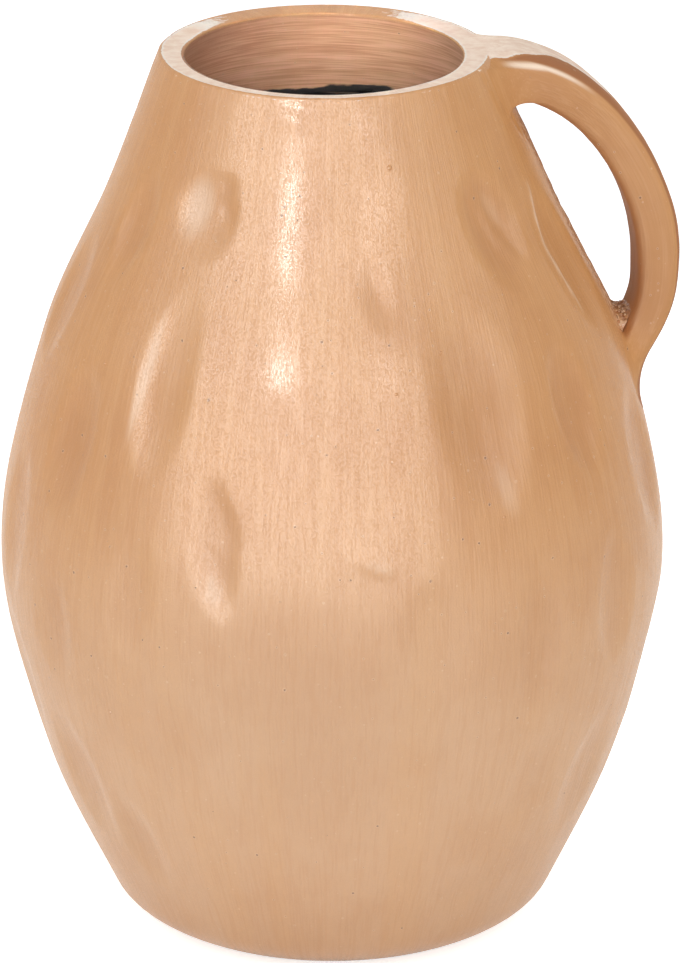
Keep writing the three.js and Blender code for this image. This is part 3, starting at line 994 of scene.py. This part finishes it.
def makeBrushStrokes():
    # fine strokes and broader bands that run with the "Along" coordinates
    group, given, result = startGroup("brush strokes", {"Along": None, "Strokes per Metre": 900.0},
                                      ("Strokes", "Bands"))
    along, perMetre = given["Along"], given["Strokes per Metre"]
    fine = noiseAt(group, along, perMetre, 1.5)
    broad = noiseAt(group, along, multiply(group, perMetre, 0.22))
    bands = noiseAt(group, along, multiply(group, perMetre, 0.06))
    strokes = multiply(group, fine, 0.6, multiply(group, broad, 0.4))
    setSockets(group, result, {"Strokes": remap(group, strokes, 0.34, 0.66),
                               "Bands": remap(group, bands, 0.3, 0.7)})
    return group


def makePinholes():
    # burst bubbles: a dark pit with a raised rim, here and there
    inputs = {"Place": None, "Spacing": 0.006, "Size": 0.0004, "Share": 0.6}
    group, given, result = startGroup("pinholes", inputs, ("Pit", "Rim"))
    cells = addNode(group, "TexVoronoi", {
        "Vector": given["Place"],
        "Scale": calculate(group, "DIVIDE", 1.0, given["Spacing"]),
        "Randomness": 1.0,
    }).outputs
    chance = addNode(group, "SeparateColor", {0: cells["Color"]}).outputs
    chosen = calculate(group, "LESS_THAN", chance[0], given["Share"])
    away = multiply(group, cells["Distance"], given["Spacing"])
    size = multiply(group, given["Size"], multiply(group, chance[1], 1.1, 0.4))
    reach = calculate(group, "DIVIDE", away, size)
    pit = multiply(group, remap(group, reach, 1.0, 0.6), chosen)
    ring = multiply(group, remap(group, reach, 1.9, 1.2), chosen)
    setSockets(group, result, {"Pit": pit, "Rim": calculate(group, "SUBTRACT", ring, pit)})
    return group


def makeMottle():
    # slow cloudy patches, with finer ones inside them
    group, given, result = startGroup("mottle", {"Place": None, "Size": 0.04, "Sharpness": 0.3}, ("Patches",))
    patches = noiseAt(group, given["Place"], calculate(group, "DIVIDE", 1.0, given["Size"]), 4.0, 0.55)
    low = given["Sharpness"]
    high = calculate(group, "SUBTRACT", 1.0, low)
    setSockets(group, result, {"Patches": remap(group, patches, low, high)})
    return group


def makeWornEdge():
    # where the "Worn" mask has bared the clay, with a broken edge, and the thin chipped line along it
    group, given, result = startGroup("worn edge", {"Worn": 0.0, "Place": None, "Raggedness": 0.5},
                                      ("Bare", "Chipped"))
    ragged = noiseAt(group, given["Place"], 420.0, 4.0, 0.6)
    strayed = multiply(group, calculate(group, "SUBTRACT", ragged, 0.5), given["Raggedness"])
    edge = calculate(group, "ADD", given["Worn"], strayed)
    line = multiply(group, remap(group, edge, 0.30, 0.44), remap(group, edge, 0.85, 0.5))
    setSockets(group, result, {"Bare": remap(group, edge, 0.42, 0.56), "Chipped": line})
    return group


brushStrokes = makeBrushStrokes()
pinholes = makePinholes()
mottle = makeMottle()
wornEdge = makeWornEdge()


def useGroup(tree, group, sockets, **given):
    return addNode(tree, "Group", {**sockets, **given}, node_tree=group).outputs


def startMaterial(name):
    material = bpy.data.materials.new(name)
    material.use_nodes = True
    tree = material.node_tree
    place = addNode(tree, "TexCoord").outputs["Object"]
    return material, tree, tree.nodes["Principled BSDF"], place


def bumpFrom(tree, height):
    # a normal bent by a height in millimetres
    sockets = {"Height": height, "Distance": 0.001, "Strength": 1.0}
    return addNode(tree, "Bump", sockets).outputs["Normal"]


clayColours = {
    "pale": (0.625, 0.325, 0.125, 1),
    "usual": (0.565, 0.262, 0.081, 1),
    "deep": (0.510, 0.222, 0.061, 1),
    # the deeper colour of painted shade, and of slip pooled on the strap
    "shadeAndPooling": (0.32, 0.108, 0.030, 1),
    # a painted sheen towards the foot
    "low": (0.63, 0.382, 0.215, 1),
    "pit": (0.16, 0.070, 0.032, 1),
    # pale crumbs, and the colour of painted highlights on lumps and on the pinholes' rims
    "grain": (0.80, 0.56, 0.36, 1),
    # the inside of the neck, painted paler as light where the lamps barely reach
    "inside": (0.84, 0.47, 0.28, 1),
    "insideDeep": (0.62, 0.29, 0.15, 1),
    "bare": (0.95, 0.80, 0.67, 1),
    "paintedHighlight": (0.92, 0.73, 0.56, 1),
    # the colour of painted highlights
    "bareDeep": (0.78, 0.56, 0.42, 1),
    "chipped": (0.90, 0.84, 0.76, 1),
    "smear": (0.020, 0.018, 0.016, 1),
}

# the patterns in the clay and its slip, in metres
clayPatterns = {
    "strokes": {"Strokes per Metre": 1050.0},
    "holes": {"Spacing": 0.0062, "Size": 0.00040, "Share": 0.42},
    "bubbles": {"Spacing": 0.0030, "Size": 0.00026, "Share": 0.30},
    "patches": {"Size": 0.045, "Sharpness": 0.32},
    "lumps": {"Size": 0.0022, "Sharpness": 0.36},
    "scoured": {"Size": 0.004, "Sharpness": 0.3},
    "worn": {"Raggedness": 0.6},
}
grainsPerMetre = 1300.0
streaksPerMetre = 260.0

# how far each effect covers the colour under it, at its most
clayCover = {
    "sheenCover": (0.66, 0.80), "strokesInSheen": 0.45,
    "bands": 0.24, "furrows": 0.32, "ridges": 0.22,
    "shadeAndPooling": 0.85, "crumbs": 0.45, "lumpHollowShade": 0.55,
    "holeRimHighlight": 0.18, "bubbleRimHighlight": 0.30, "bubblePits": 0.5, "pits": 0.6,
    "scoured": 0.6, "chips": 0.8,
}

clayFinish = {
    "specular": 0.5,
    "coatRoughness": 0.22,
    "coatWeight": (0.08, 0.48),  # on the low and the high grain
    "roughness": (0.64, 0.56),  # in the furrows and on the ridges, and how much rougher other places are
    "rougherUnsealed": 0.30, "rougherShadeAndPooling": 0.3, "rougherDull": 0.16,
    "strokeHeight": 0.065, "bandHeight": 0.05, "grainHeight": 0.075,  # heights are millimetres
    "roughHeight": 0.35, "rimHeight": 0.06, "pitDepth": 0.22,
}


def makeClay():
    material, tree, shader, place = startMaterial("brushed terracotta")
    colours, patterns, most, finish = clayColours, clayPatterns, clayCover, clayFinish
    blackened, shadeAndPooling, paintedHighlight, missed, inside, dull = (
        maskAt(tree, name) for name in ("blackened", "shadeAndPooling", "paintedHighlight", "rough", "inside", "dull"))
    along = maskAt(tree, "brushing", "Vector")
    strokes, bands = useGroup(tree, brushStrokes, patterns["strokes"], Along=along)
    holes = useGroup(tree, pinholes, patterns["holes"], Place=place)
    bubbles = useGroup(tree, pinholes, patterns["bubbles"], Place=place)
    patches, lumps, scoured = (
        useGroup(tree, mottle, patterns[name], Place=place)[0] for name in ("patches", "lumps", "scoured"))
    worn = useGroup(tree, wornEdge, patterns["worn"], Worn=maskAt(tree, "sanded"), Place=place)
    grain = noiseAt(tree, place, grainsPerMetre)
    colour = mixColours(tree, patches, colours["deep"], colours["usual"])

    def cover(share, name):
        nonlocal colour
        colour = mixColours(tree, share, colour, colours[name])

    # towards the foot the colour is paler and less saturated, a painted sheen, and the strokes show less
    paintedSheen = multiply(tree, remap(tree, heightAt(tree, place), 0.225, 0.10),
                     remap(tree, patches, 0.0, 1.0, *most["sheenCover"]))
    shown = remap(tree, paintedSheen, 0.0, 0.7, 1.0, most["strokesInSheen"])
    cover(paintedSheen, "low")
    cover(remap(tree, bands, 0.2, 1.0, 0.0, most["bands"]), "pale")
    cover(multiply(tree, remap(tree, strokes, 0.0, 0.6, most["furrows"], 0.0), shown), "deep")
    cover(multiply(tree, remap(tree, strokes, 0.6, 1.0, 0.0, most["ridges"]), shown), "pale")
    # inside the neck the clay is without slip and scratched round by the brush, and paler: bare clay, and
    # painted light where the lamps barely reach
    scratched = mixColours(tree, strokes, colours["insideDeep"], colours["inside"])
    colour = mixColours(tree, inside, colour, scratched)
    # darker where shade is painted: in the presses' hollows, at the left inside the neck, along the rim's
    # inner edge at the left and on the strap's outer face; darker also on the wall behind the handle, and
    # where slip pooled in the band on the strap's top
    cover(multiply(tree, shadeAndPooling, most["shadeAndPooling"]), "shadeAndPooling")
    # painted highlights on the presses' ridges and along the strap's front corner
    cover(paintedHighlight, "paintedHighlight")
    # on the rough slip the lumps' tops are pale, pale crumbs with a painted highlight, and the hollows
    # between them take painted shade
    cover(multiply(tree, missed, remap(tree, lumps, 0.55, 0.9, 0.0, most["crumbs"])), "grain")
    cover(multiply(tree, missed, remap(tree, lumps, 0.5, 0.15, 0.0, most["lumpHollowShade"])), "shadeAndPooling")
    # the raised rims of the pinholes and bubbles are painted paler, a painted highlight
    rimHighlights = multiply(tree, holes["Rim"], most["holeRimHighlight"])
    cover(multiply(tree, bubbles["Rim"], most["bubbleRimHighlight"], rimHighlights), "grain")
    pits = calculate(tree, "MAXIMUM", holes["Pit"], multiply(tree, bubbles["Pit"], most["bubblePits"]))
    cover(multiply(tree, pits, most["pits"]), "pit")
    # sanded clay is scoured, and chipped along its edge
    scoured = multiply(tree, scoured, most["scoured"], multiply(tree, strokes, 1 - most["scoured"]))
    bare = mixColours(tree, scoured, colours["bareDeep"], colours["bare"])
    colour = mixColours(tree, worn["Bare"], colour, bare)
    cover(multiply(tree, worn["Chipped"], remap(tree, shadeAndPooling, 0.0, 0.8, most["chips"], 0.0)), "chipped")
    # black streaks of the coat above its edge, and the black in the painted shadow along the rim's inner edge
    streaks = multiply(tree, noiseAt(tree, along, streaksPerMetre, 4.0, 0.7), 0.9, -0.45)
    cover(remap(tree, calculate(tree, "ADD", blackened, streaks), 0.45, 0.62), "smear")

    unsealed = calculate(tree, "MAXIMUM", worn["Bare"], inside)
    rough = remap(tree, strokes, 0.0, 1.0, *finish["roughness"])
    for mask, rougher in ((unsealed, "rougherUnsealed"), (shadeAndPooling, "rougherShadeAndPooling"), (dull, "rougherDull")):
        rough = multiply(tree, mask, finish[rougher], rough)
    sealed = remap(tree, grain, 0.40, 0.58, *finish["coatWeight"])
    for mask in (unsealed, dull):
        sealed = multiply(tree, sealed, calculate(tree, "SUBTRACT", 1.0, mask))

    height = 0.0
    for mask, tall in (
        (strokes, finish["strokeHeight"]),
        (bands, finish["bandHeight"]),
        (grain, finish["grainHeight"]),
        (multiply(tree, missed, lumps), finish["roughHeight"]),
        (pits, -finish["pitDepth"]),
        (holes["Rim"], finish["rimHeight"]),
        (bubbles["Rim"], finish["rimHeight"] / 2),
    ):
        height = multiply(tree, mask, tall, height)
    setSockets(tree, shader, {
        "Base Color": colour,
        "Roughness": rough,
        "Specular IOR Level": finish["specular"],
        "Coat Weight": sealed,
        "Coat Roughness": finish["coatRoughness"],
        "Normal": bumpFrom(tree, height),
    })
    return material


# the black coat's colours and finish, and how much clay shows through it low down and at its top edge
sealerSizes = {
    "black": (0.010, 0.0095, 0.010, 1),
    "worn": (0.22, 0.165, 0.12, 1),
    "strokes": {"Strokes per Metre": 700.0},
    "patches": {"Size": 0.012, "Sharpness": 0.35},
    "thin": (0.3, 1.0),
    "roughness": (0.38, 0.62),
    "strokeHeight": 0.08,
}


def makeSealer():
    material, tree, shader, place = startMaterial("black lining")
    sizes = sealerSizes
    strokes, _ = useGroup(tree, brushStrokes, sizes["strokes"], Along=maskAt(tree, "brushing", "Vector"))
    patches = useGroup(tree, mottle, sizes["patches"], Place=place)["Patches"]
    # near its top edge the coat is thin, and streaks of clay show through
    thin = multiply(tree, multiply(tree, remap(tree, strokes, 0.6, 1.0), patches),
                    remap(tree, heightAt(tree, place), 0.290, 0.310, *sizes["thin"]))
    setSockets(tree, shader, {
        "Base Color": mixColours(tree, thin, sizes["black"], sizes["worn"]),
        "Roughness": remap(tree, patches, 0.0, 1.0, *sizes["roughness"]),
        "Normal": bumpFrom(tree, multiply(tree, strokes, sizes["strokeHeight"])),
    })
    return material


clay = makeClay()
sealer = makeSealer()
for piece in (pot, handle, upperSlip, lowerSlip):
    piece.data.materials.append(clay)
coat.data.materials.append(sealer)
print("materials made")


# a white floor that keeps the shadow, and white all round for the camera and the reflections
stageSizes = {"floor": 14.0, "floorColour": 0.86, "floorGlow": 0.68, "roomLight": 0.35, "roomSeen": 1.0}


def whiteToCamera(tree, seen, elsewhere):
    # one strength for what the camera and the reflections see, and one for the light that falls
    rays = addNode(tree, "LightPath").outputs
    direct = calculate(tree, "MAXIMUM", rays["Is Camera Ray"], rays["Is Glossy Ray"])
    return multiply(tree, direct, seen - elsewhere, elsewhere)


def makeFloor():
    mesh = bmesh.new()
    bmesh.ops.create_grid(mesh, x_segments=1, y_segments=1, size=stageSizes["floor"] / 2)
    floor = addMesh("floor", mesh)
    material, tree, shader, _ = startMaterial("white floor")
    white = stageSizes["floorColour"]
    setSockets(tree, shader, {
        "Base Color": (white, white, white, 1),
        "Roughness": 0.9,
        "Specular IOR Level": 0.0,
        "Emission Color": (1, 1, 1, 1),
        "Emission Strength": whiteToCamera(tree, stageSizes["floorGlow"], 0.0),
    })
    floor.data.materials.append(material)


def makeRoom():
    world = bpy.data.worlds.new("white room")
    bpy.context.scene.world = world
    world.use_nodes = True
    tree = world.node_tree
    strength = whiteToCamera(tree, stageSizes["roomSeen"], stageSizes["roomLight"])
    setSockets(tree, tree.nodes["Background"], {"Color": (1, 1, 1, 1), "Strength": strength})


# soft boxes: degrees round from the handle and up, metres away, width and height in metres, and watts
lampSizes = {
    "left": (-168, 33, 2.3, 2.0, 1.6, 23.0),
    "right": (-38, 33, 2.3, 2.0, 1.6, 21.0),
    "over": (-100, 72, 2.3, 1.8, 1.4, 7.0),
    "strip": (-119, 28.5, 2.2, 0.24, 0.22, 17.0),
    "stripRight": (-75, 29, 2.2, 0.26, 0.26, 3.0),
    "sheen": (-109, 14, 2.3, 5.2, 2.4, 260.0),
    "card": (-104, -89.9, 0.996, 1.2, 0.92, 1.15),
    "cardSheen": (-104, -89.9, 0.996, 1.2, 0.92, 5.0),
    "neck": (-103, 20, 0.6, 0.08, 0.01, 0.012),
}
mirroredOnly = ("strip", "stripRight", "sheen", "cardSheen")  # these only show in the sealer
neckSpread = 7.5


def towards(turn, up):
    turn, up = radians(turn), radians(up)
    return Vector((cos(turn) * cos(up), sin(turn) * cos(up), sin(up)))


# most lamps face the vase's middle; the card lies on the floor in front, faces up and lights the lower half,
# and the neck's lamp has a grid on it and shines over the front of the rim
cardAim = towards(-104, 0) * 0.58 + Vector((0, 0, 1))
lampAims = {"card": cardAim, "cardSheen": cardAim, "neck": Vector((0.010, 0.048, 0.344))}


def standAway(name, data, target, turn, up, away):
    # a lamp or a camera that stands away from its target in a direction, and faces it
    made = addObject(name, data)
    direction = towards(turn, up)
    made.location = target + direction * away
    made.rotation_euler = direction.to_track_quat("Z", "Y").to_euler()
    return made


def makeLamps():
    middle = Vector((0, 0, potHeight / 2))
    for name, (turn, up, away, wide, tall, watts) in lampSizes.items():
        data = bpy.data.lights.new(name, "AREA")
        data.shape = "RECTANGLE"
        data.size, data.size_y = wide, tall
        data.energy = watts
        lamp = standAway(name, data, lampAims.get(name, middle), turn, up, away)
        lamp.visible_camera = False
        lamp.visible_diffuse = name not in mirroredOnly
        if name == "neck":
            data.spread = radians(neckSpread)
            lamp.visible_glossy = False


# the camera: degrees round from the handle and up, metres away, and millimetres of lens
cameraSizes = {"turn": -98, "up": 19.14, "away": 3.15, "aim": 0.1741, "aside": 0.0032, "lens": 300.4}


def makeCamera():
    sizes = cameraSizes
    data = bpy.data.cameras.new("camera")
    data.lens = sizes["lens"]
    aim = Vector((0, 0, sizes["aim"])) + towards(sizes["turn"] + 90, 0) * sizes["aside"]
    camera = standAway("camera", data, aim, sizes["turn"], sizes["up"], sizes["away"])
    bpy.context.scene.camera = camera


makeFloor()
makeRoom()
makeLamps()
makeCamera()
bpy.context.scene.view_settings.view_transform = "Standard"
print("stage ready")
